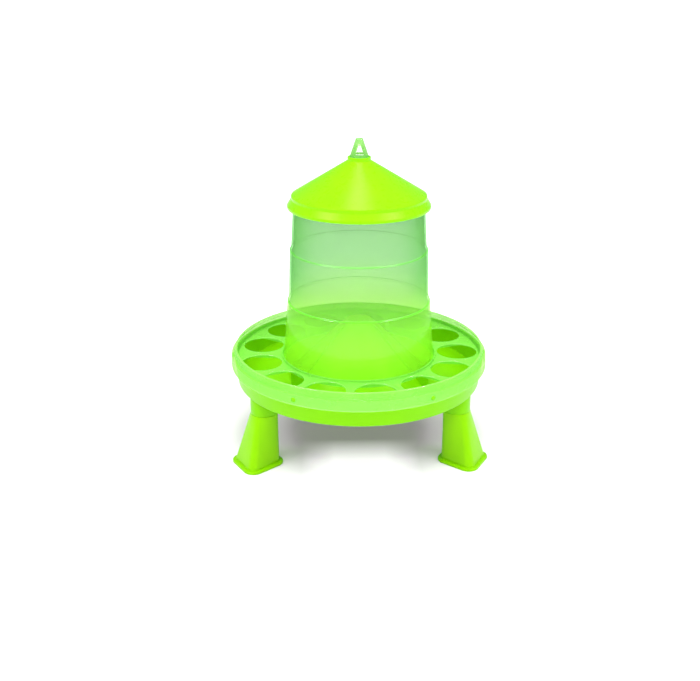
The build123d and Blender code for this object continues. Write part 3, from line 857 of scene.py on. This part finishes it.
# %% Feeding holes with rolled lips, and the holes for the pegs
lip = 0.7 * MM
flare = [(1 - math.cos(math.radians(a)), math.sin(math.radians(a))) for a in (0, 15, 30, 45, 60, 75)]
above = [(hole_radius + lip * out, plate_top - lip * (1 - up)) for out, up in flare]
below = [(hole_radius + lip * out, plate_bottom + lip * (1 - up)) for out, up in reversed(flare)]
reach = 0.8 * MM
cutter_outline = [(0.0, plate_bottom - reach), (below[0][0], plate_bottom - reach), *below, *above,
                  (above[-1][0], plate_top + reach), (0.0, plate_top + reach)]
cutter = section("hole_cutters", cutter_outline)
made_by(cutter, turning_tree, segments=96, closed=False, axis_y=axis_y + hole_circle, finish=grille_green)
closed_up(cutter)
closed_up(ringed(cutter, hole_count, -90, grille_green))
combined(grille, cutter, "DIFFERENCE")
peg_cutters = turned_at("peg_cutters", [
    (0, 0, 0),
    (peg_radius + 0.3 * MM, 0, 0),
    (peg_radius + 0.3 * MM, 8.0 * MM, 0),
    (0, 8.0 * MM, 0),
], 0.0, grille_green, 32, closed=False)
peg_cutters.data.transform(
    Matrix.Translation((tray_outer(tray_rim), axis_y, peg_height)) @ Matrix.Rotation(math.radians(90), 4, "Y"))
closed_up(ringed(peg_cutters, peg_count, 0, grille_green))
combined(grille, peg_cutters, "DIFFERENCE")
grille.name = grille.data.name = "grille_moulding"


def grille_thick(radius, height, x, y):
    """Hole lips, the rim's top and the skirt's foot."""
    turn = np.arctan2(y - axis_y, x)
    pitch = 2 * math.pi / hole_count
    off = (turn + pitch / 2) % pitch - pitch / 2
    from_hole = np.sqrt(radius**2 + hole_circle**2 - 2 * radius * hole_circle * np.cos(off))
    lips = (from_hole < hole_radius + 0.5 * lip) * 0.8
    rims = (height > rim_top - 0.8 * MM) | (height < skirt_bottom + 0.8 * MM)
    return lips + rims * 0.6


marked_thick(closed_up(grille), grille_thick)
evened(grille)

# %% [markdown]
# ## The hopper
#
# A clear tapering wall in three stretches. At each ring the wall steps in, which stiffens it and
# makes the bright line seen across it. Inside the foot are three bayonet lugs, and on top a
# spider of three arms holds the hub for the hanger.

# %% Hopper wall
hopper_height = 198.0 * MM
hopper_top = hopper_bottom + hopper_height
hopper_ledge = 1.6 * MM
ring_heights = (75.0 * MM, 136.3 * MM)


def hopper_outer(height):
    """Outer radius of the hopper, with its rings stepping in on the way up."""
    up = height - hopper_bottom
    return hopper_radius - up * hopper_taper - hopper_ledge * sum(1 for ring in ring_heights if up > ring)


outside = [(hopper_outer(hopper_bottom), hopper_bottom, 0.7 * MM)]
inside = []
for ring in ring_heights:
    height = hopper_bottom + ring
    radius = hopper_outer(height)
    outside += [(radius, height, 0.7 * MM), (radius - hopper_ledge, height, 0.5 * MM)]
    inside += [(radius - hopper_wall, height - hopper_wall, 0.5 * MM),
               (radius - hopper_ledge - hopper_wall, height - hopper_wall, 0.7 * MM)]
outside += [(hopper_outer(hopper_top), hopper_top, 0.7 * MM)]
inside += [(hopper_outer(hopper_top) - hopper_wall, hopper_top, 0.7 * MM)]
inside = [(hopper_outer(hopper_bottom) - hopper_wall, hopper_bottom, 0.7 * MM)] + inside
hopper = turned("hopper", outside + inside[::-1], hopper_green, segments=192, steps=5)

# %% Lugs, hub and arms
lug_outer = hopper_outer(lug_bottom + lug_thickness) - hopper_wall + sink
lug_inner = lug_outer - sink - 4.0 * MM
lugs = arc_band("lugs", [
    (lug_inner, lug_bottom, 0.4 * MM),
    (lug_outer, lug_bottom, 0),
    (lug_outer, lug_bottom + lug_thickness, 0),
    (lug_inner, lug_bottom + lug_thickness, 0.4 * MM),
], 90 + lug_lead, 90 + lug_lead + lug_arc, leg_count, hopper_green)
combined(hopper, lugs, "UNION")

lid_wall = 2.0 * MM
lid_slope = 0.61
lid_rise = lid_wall * math.sqrt(1 + lid_slope**2)
lid_wall_inner = hopper_outer(hopper_top) + 0.7 * MM
lid_wall_outer = lid_wall_inner + lid_wall
lid_shoulder = hopper_top + 0.4 * MM + lid_rise - lid_slope * (lid_wall_outer - hopper_outer(hopper_top))


def lid_outside(radius):
    """Height of the lid's outer slope."""
    return lid_shoulder + (lid_wall_outer - radius) * lid_slope


def arm_top(radius):
    """Height of the spider's arms, which run under the lid."""
    return lid_outside(radius) - lid_rise - 1.5 * MM * math.sqrt(1 + lid_slope**2)


hub_radius = 15.5 * MM
hub_top = arm_top(hub_radius)
hub_bottom = hub_top - 8.0 * MM
stem_radius = 8.0 * MM
hub_bore = stem_radius + 0.08 * MM
arm_thickness = 3.0 * MM
arm_root = (hub_radius + hub_bore) / 2
arm_end = hopper_outer(hopper_top) - hopper_wall / 2
hub = turned("hub", [
    (hub_bore, hub_bottom, 0.3 * MM),
    (hub_radius, hub_bottom, 0.5 * MM),
    (hub_radius, hub_top, 0.5 * MM),
    (hub_bore, hub_top, 0.3 * MM),
], hopper_green, segments=72, steps=4)
arms = slab("arms", [
    (arm_root, hub_top - 0.05 * MM),
    (hub_radius, hub_top - 0.05 * MM),
    (arm_end, arm_top(arm_end)),
    (arm_end, arm_top(arm_end) - arm_thickness),
    (hub_radius, hub_top - arm_thickness),
    (arm_root, hub_top - arm_thickness),
], 14.0 * MM, 0.4 * MM)
webs = slab("webs", [
    (arm_root, hub_top - arm_thickness / 2),
    (hub_radius, hub_top - arm_thickness / 2),
    (arm_end, arm_top(arm_end) - arm_thickness / 2),
    (arm_end, arm_top(arm_end) - 6.0 * MM),
    (hub_radius, hub_bottom + 0.05 * MM),
    (arm_root, hub_bottom + 0.05 * MM),
], 2.4 * MM, 0.3 * MM)
combined(hub, closed_up(ringed(arms, 3, 90, hopper_green)), "UNION")
combined(hub, closed_up(ringed(webs, 3, 90, hopper_green)), "UNION")
combined(hopper, hub, "UNION")
hopper.name = hopper.data.name = "hopper_moulding"


def hopper_thick(radius, height, x, y):
    """The two rings, the lower rim, and the spider above the wall."""
    rings_here = sum(np.abs(height - hopper_bottom - ring) < 0.6 * MM for ring in ring_heights)
    rims = (height < hopper_bottom + 0.8 * MM) | (height > hopper_top - 1.0 * MM)
    return rings_here * 0.8 + rims * 0.6


marked_thick(closed_up(hopper), hopper_thick)
evened(hopper)

# %% [markdown]
# ## The lid
#
# A turned lime cone with a rolled shoulder, a short upright wall and a flared skirt that throws
# rain off the hopper, and a collar that guides it on the hanger.

# %% Turn the lid
hanger_radius = 11.5 * MM
lid_hole = hanger_radius + 0.4 * MM
collar_foot = lid_hole + 1.3 * MM
lid_flare_top = lid_shoulder - 3.5 * MM
lid_flare_end = lid_flare_top - 7.5 * MM
lid = turned("lid_moulding", [
    (lid_hole, lid_outside(lid_hole) - lid_rise, 0.3 * MM),
    (lid_wall_inner, lid_outside(lid_wall_inner) - lid_rise, 0.4 * MM),
    (lid_wall_inner, lid_flare_top - lid_wall / 2, 1.5 * MM),
    (lid_radius - lid_wall, lid_flare_end - lid_wall / 2, 0.8 * MM),
    (lid_radius - lid_wall, lid_rim_bottom, 0.8 * MM),
    (lid_radius, lid_rim_bottom, 0.8 * MM),
    (lid_radius, lid_flare_end, 1.5 * MM),
    (lid_wall_outer, lid_flare_top, 2.0 * MM),
    (lid_wall_outer, lid_shoulder, 1.6 * MM),
    (collar_foot, lid_outside(collar_foot), 1.0 * MM),
    (collar_foot, lid_top, 0.6 * MM),
    (lid_hole, lid_top, 0.5 * MM),
], lid_lime, steps=8)
evened(lid)

# %% [markdown]
# ## The hanger
#
# A small hollow cone, pierced by a window for the hook, on a slotted stem that snaps into the
# hub and turns there. It is turned, then the window and the slot are cut.

# %% Turn the hanger and cut it
cone_foot = hanger_top - 22.4 * MM
hanger_top_radius = 3.8 * MM
hanger_wall = 2.2 * MM
hanger_foot = hub_top + 0.3 * MM
stem_bore = 5.4 * MM
stem_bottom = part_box("hanger")[0].z
barb_radius = stem_radius + 2.2 * MM
barb_base = stem_bottom + 4.0 * MM
barb_top = barb_base + 1.3 * MM
window_top = hanger_top - 7.5 * MM
window_bottom = window_top - 9.4 * MM
roof = window_top - 0.5 * MM
lean = (hanger_radius - hanger_top_radius) / (hanger_top - cone_foot)
roof_radius = hanger_radius - (roof - cone_foot) * lean - hanger_wall
hanger = turned("hanger_moulding", [
    (0, roof, 0),
    (roof_radius, roof, 1.0 * MM),
    (hanger_radius - hanger_wall, cone_foot, 1.0 * MM),
    (stem_bore, cone_foot - (hanger_radius - hanger_wall - stem_bore), 1.0 * MM),
    (stem_bore, stem_bottom, 0.3 * MM),
    (stem_radius, stem_bottom, 0.3 * MM),
    (barb_radius, barb_base, 0.3 * MM),
    (barb_radius, barb_top, 0.3 * MM),
    (stem_radius, barb_top, 0.2 * MM),
    (stem_radius, hanger_foot, 0.2 * MM),
    (hanger_radius, hanger_foot, 0.4 * MM),
    (hanger_radius, cone_foot, 2.0 * MM),
    (hanger_top_radius, hanger_top, 1.2 * MM),
    (0, hanger_top, 0),
], hanger_green, segments=96, closed=False)


def window_cutter(name, corners, depth):
    """A bar that runs front to back through the axis, with a rounded outline."""
    outline = rounded([(x, z, r) for x, z, r in corners], steps=4, support=2.0 * MM)
    return closed_up(slab(name, [tuple(p) for p in outline], depth, 0))


window = window_cutter("window", [
    (-4.5 * MM, window_bottom, 0.6 * MM),
    (4.5 * MM, window_bottom, 0.6 * MM),
    (1.4 * MM, window_top, 0.6 * MM),
    (-1.4 * MM, window_top, 0.6 * MM),
], 30.0 * MM)
combined(hanger, window, "DIFFERENCE")
slot_half = 1.5 * MM
slot = window_cutter("slot", [
    (-slot_half, stem_bottom - 1.0 * MM, 0),
    (slot_half, stem_bottom - 1.0 * MM, 0),
    (slot_half, hub_top - slot_half, 0),
    (-slot_half, hub_top - slot_half, 0),
], 30.0 * MM)
combined(hanger, slot, "DIFFERENCE")
marked_thick(closed_up(hanger), lambda radius, height, x, y: (height > window_top) * 0.5)
evened(hanger)

# %% [markdown]
# ## What each moulding rides on
#
# The frame has four bodies. Each new piece stands for its CAD part, which stays for collision,
# and moves with the same body.

# %% Bodies, replaced nodes and slots
standing_for = [
    (tray, "base", ["feed_tray"], "tray_lime"),
    (grille, "base", ["anti_waste_grille"], "grille_clear_green"),
    (legs[0], "base", ["leg_1"], "leg_lime"),
    (legs[1], "base", ["leg_2"], "leg_lime"),
    (legs[2], "base", ["leg_3"], "leg_lime"),
    (hopper, "hopper", ["hopper"], "hopper_clear_green"),
    (lid, "lid", ["lid"], "lid_lime"),
    (hanger, "hanger", ["hanger"], "hanger_clear_green"),
]
for piece, body, nodes, slot_name in standing_for:
    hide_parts(*nodes)
    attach(piece, body)
    corners = [Vector(c) for c in piece.bound_box]
    low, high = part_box(nodes[0])
    grown = [round((min(c[i] for c in corners) - low[i]) / MM, 2) for i in range(3)]
    past = [round((max(c[i] for c in corners) - high[i]) / MM, 2) for i in range(3)]
    print(piece.name, "low corner off by", grown, "high corner off by", past, "mm")

# %% [markdown]
# ## Floor, light and camera
#
# A white floor runs far past the view. Under the feeder it carries painted shade, a darker violet colour that also
# cancels the green light bounced off the lime, and painted light, an emission that brightens the floor under the
# feeder's front and keeps the shadow short. The room is a plain white sky, with four softboxes: one overhead and a
# little behind, which gives the lid its bright middle, a wide one in front that is not seen in reflections, and one
# on each side in front, which draw the white lines on the hopper's rings.

# %% Floor, with painted shade and painted light under the feeder
floor_size = 40.0
floor_mesh = bpy.data.meshes.new("floor")
floor_mesh.from_pydata([(x * floor_size, y * floor_size, 0.0) for x, y in ((-1, -1), (1, -1), (1, 1), (-1, 1))],
                       [], [(0, 1, 2, 3)])
floor = bpy.data.objects.new("floor", floor_mesh)
bpy.context.scene.collection.objects.link(floor)
floor_finish, floor_nodes, floor_shader, floor_place = new_finish("studio_floor")
floor_grain = shade_noise(floor_nodes, floor_place, 12.0)
from_middle = node(floor_nodes, "ShaderNodeVectorMath", {0: floor_place}, operation="LENGTH").outputs["Value"]
plain = colour_mix(floor_nodes, floor_grain, (0.93, 0.93, 0.93), (0.95, 0.95, 0.95))
# Painted shade: near the floor's middle, under the feeder, the floor's colour fades to a dark violet. This paints the
# shadow, and its violet also cancels the green light bounced off the lime.
painted_shade_beneath = between(floor_nodes, from_middle, 0.08, 0.18, 1.0, 0.0)
floor_nodes.links.new(blend(floor_nodes, painted_shade_beneath, plain, (0.40, 0.27, 0.45)), floor_shader.inputs["Base Color"])
across, along, _ = (node(floor_nodes, "ShaderNodeSeparateXYZ", {0: floor_place}).outputs[i] for i in range(3))
# Painted light: the floor's emission paints a pool of light under the front of the feeder, strongest in front of its
# middle, and a faint even lift under the whole feeder. It fades out by 20 cm from the floor's middle and keeps the
# shadow short. Farther out, the emission makes the floor evenly white.
painted_light_ahead = between(floor_nodes, along, -0.02, -0.072, 0.0, 0.75)
middle = between(floor_nodes, maths(floor_nodes, "ABSOLUTE", across), 0.03, 0.07, 1.0, 0.2)
painted_light_under_feeder = maths(floor_nodes, "MULTIPLY",
               maths(floor_nodes, "ADD", maths(floor_nodes, "MULTIPLY", painted_light_ahead, middle), 0.15),
               between(floor_nodes, from_middle, 0.10, 0.20, 1.0, 0.0))
glow = maths(floor_nodes, "ADD", painted_light_under_feeder, between(floor_nodes, from_middle, 0.22, 0.6, 0.0, 0.55))
floor_shader.inputs["Emission Color"].default_value = (1.0, 1.0, 1.0, 1.0)
floor_nodes.links.new(glow, floor_shader.inputs["Emission Strength"])
floor_shader.inputs["Roughness"].default_value = 0.9
floor_shader.inputs["Specular IOR Level"].default_value = 0.1
floor_mesh.materials.append(floor_finish)

# %% Light
world = bpy.data.worlds.new("studio")
bpy.context.scene.world = world
world.use_nodes = True
world.node_tree.nodes["Background"].inputs["Color"].default_value = (1.0, 1.0, 1.0, 1.0)
sky = world.node_tree
ray = node(sky, "ShaderNodeLightPath").outputs
seen_sky = maths(sky, "MULTIPLY", ray["Is Camera Ray"], 0.5)
mirrored_sky = maths(sky, "MULTIPLY", ray["Is Glossy Ray"], -0.37)
strength = maths(sky, "ADD", maths(sky, "ADD", 0.62, seen_sky), mirrored_sky)
sky.links.new(strength, sky.nodes["Background"].inputs["Strength"])


def softbox(name, azimuth, elevation, distance, size, power, tall=None):
    """An area light that faces the feeder. Azimuth is measured from the front, towards +X."""
    light = bpy.data.lights.new(name, "AREA")
    light.shape = "RECTANGLE"
    light.size = size
    light.size_y = tall or size
    light.energy = power
    box = bpy.data.objects.new(name, light)
    a, e = math.radians(azimuth), math.radians(elevation)
    aim = Vector((0, axis_y, 0.18))
    away = Vector((math.sin(a) * math.cos(e), -math.cos(a) * math.cos(e), math.sin(e)))
    box.location = aim + away * distance
    box.rotation_euler = (-away).to_track_quat("-Z", "Y").to_euler()
    bpy.context.scene.collection.objects.link(box)
    return box


softbox("overhead", 180, 84, 1.5, 0.35, 6.0, 0.45)
softbox("front", 0, 56, 1.6, 1.3, 18.0, 0.5).visible_glossy = False
softbox("left_front", -60, 44, 1.6, 0.8, 12.0, 0.25)
softbox("right_front", 60, 44, 1.6, 0.8, 12.0, 0.25)

# %% Camera
camera = bpy.data.objects.new("camera", bpy.data.cameras.new("camera"))
camera.data.sensor_width = 36.0
camera.data.lens = 50.09
camera.location = (-0.0454, axis_y - 1.0859, 0.5517)
camera.rotation_euler = (math.radians(68.58), 0.0, math.radians(-1.85))
bpy.context.scene.collection.objects.link(camera)
bpy.context.scene.camera = camera
bpy.context.scene.view_settings.view_transform = "Standard"
bpy.context.scene.cycles.transparent_max_bounces = 24
print("lens", camera.data.lens, "at", [round(v, 3) for v in camera.location])
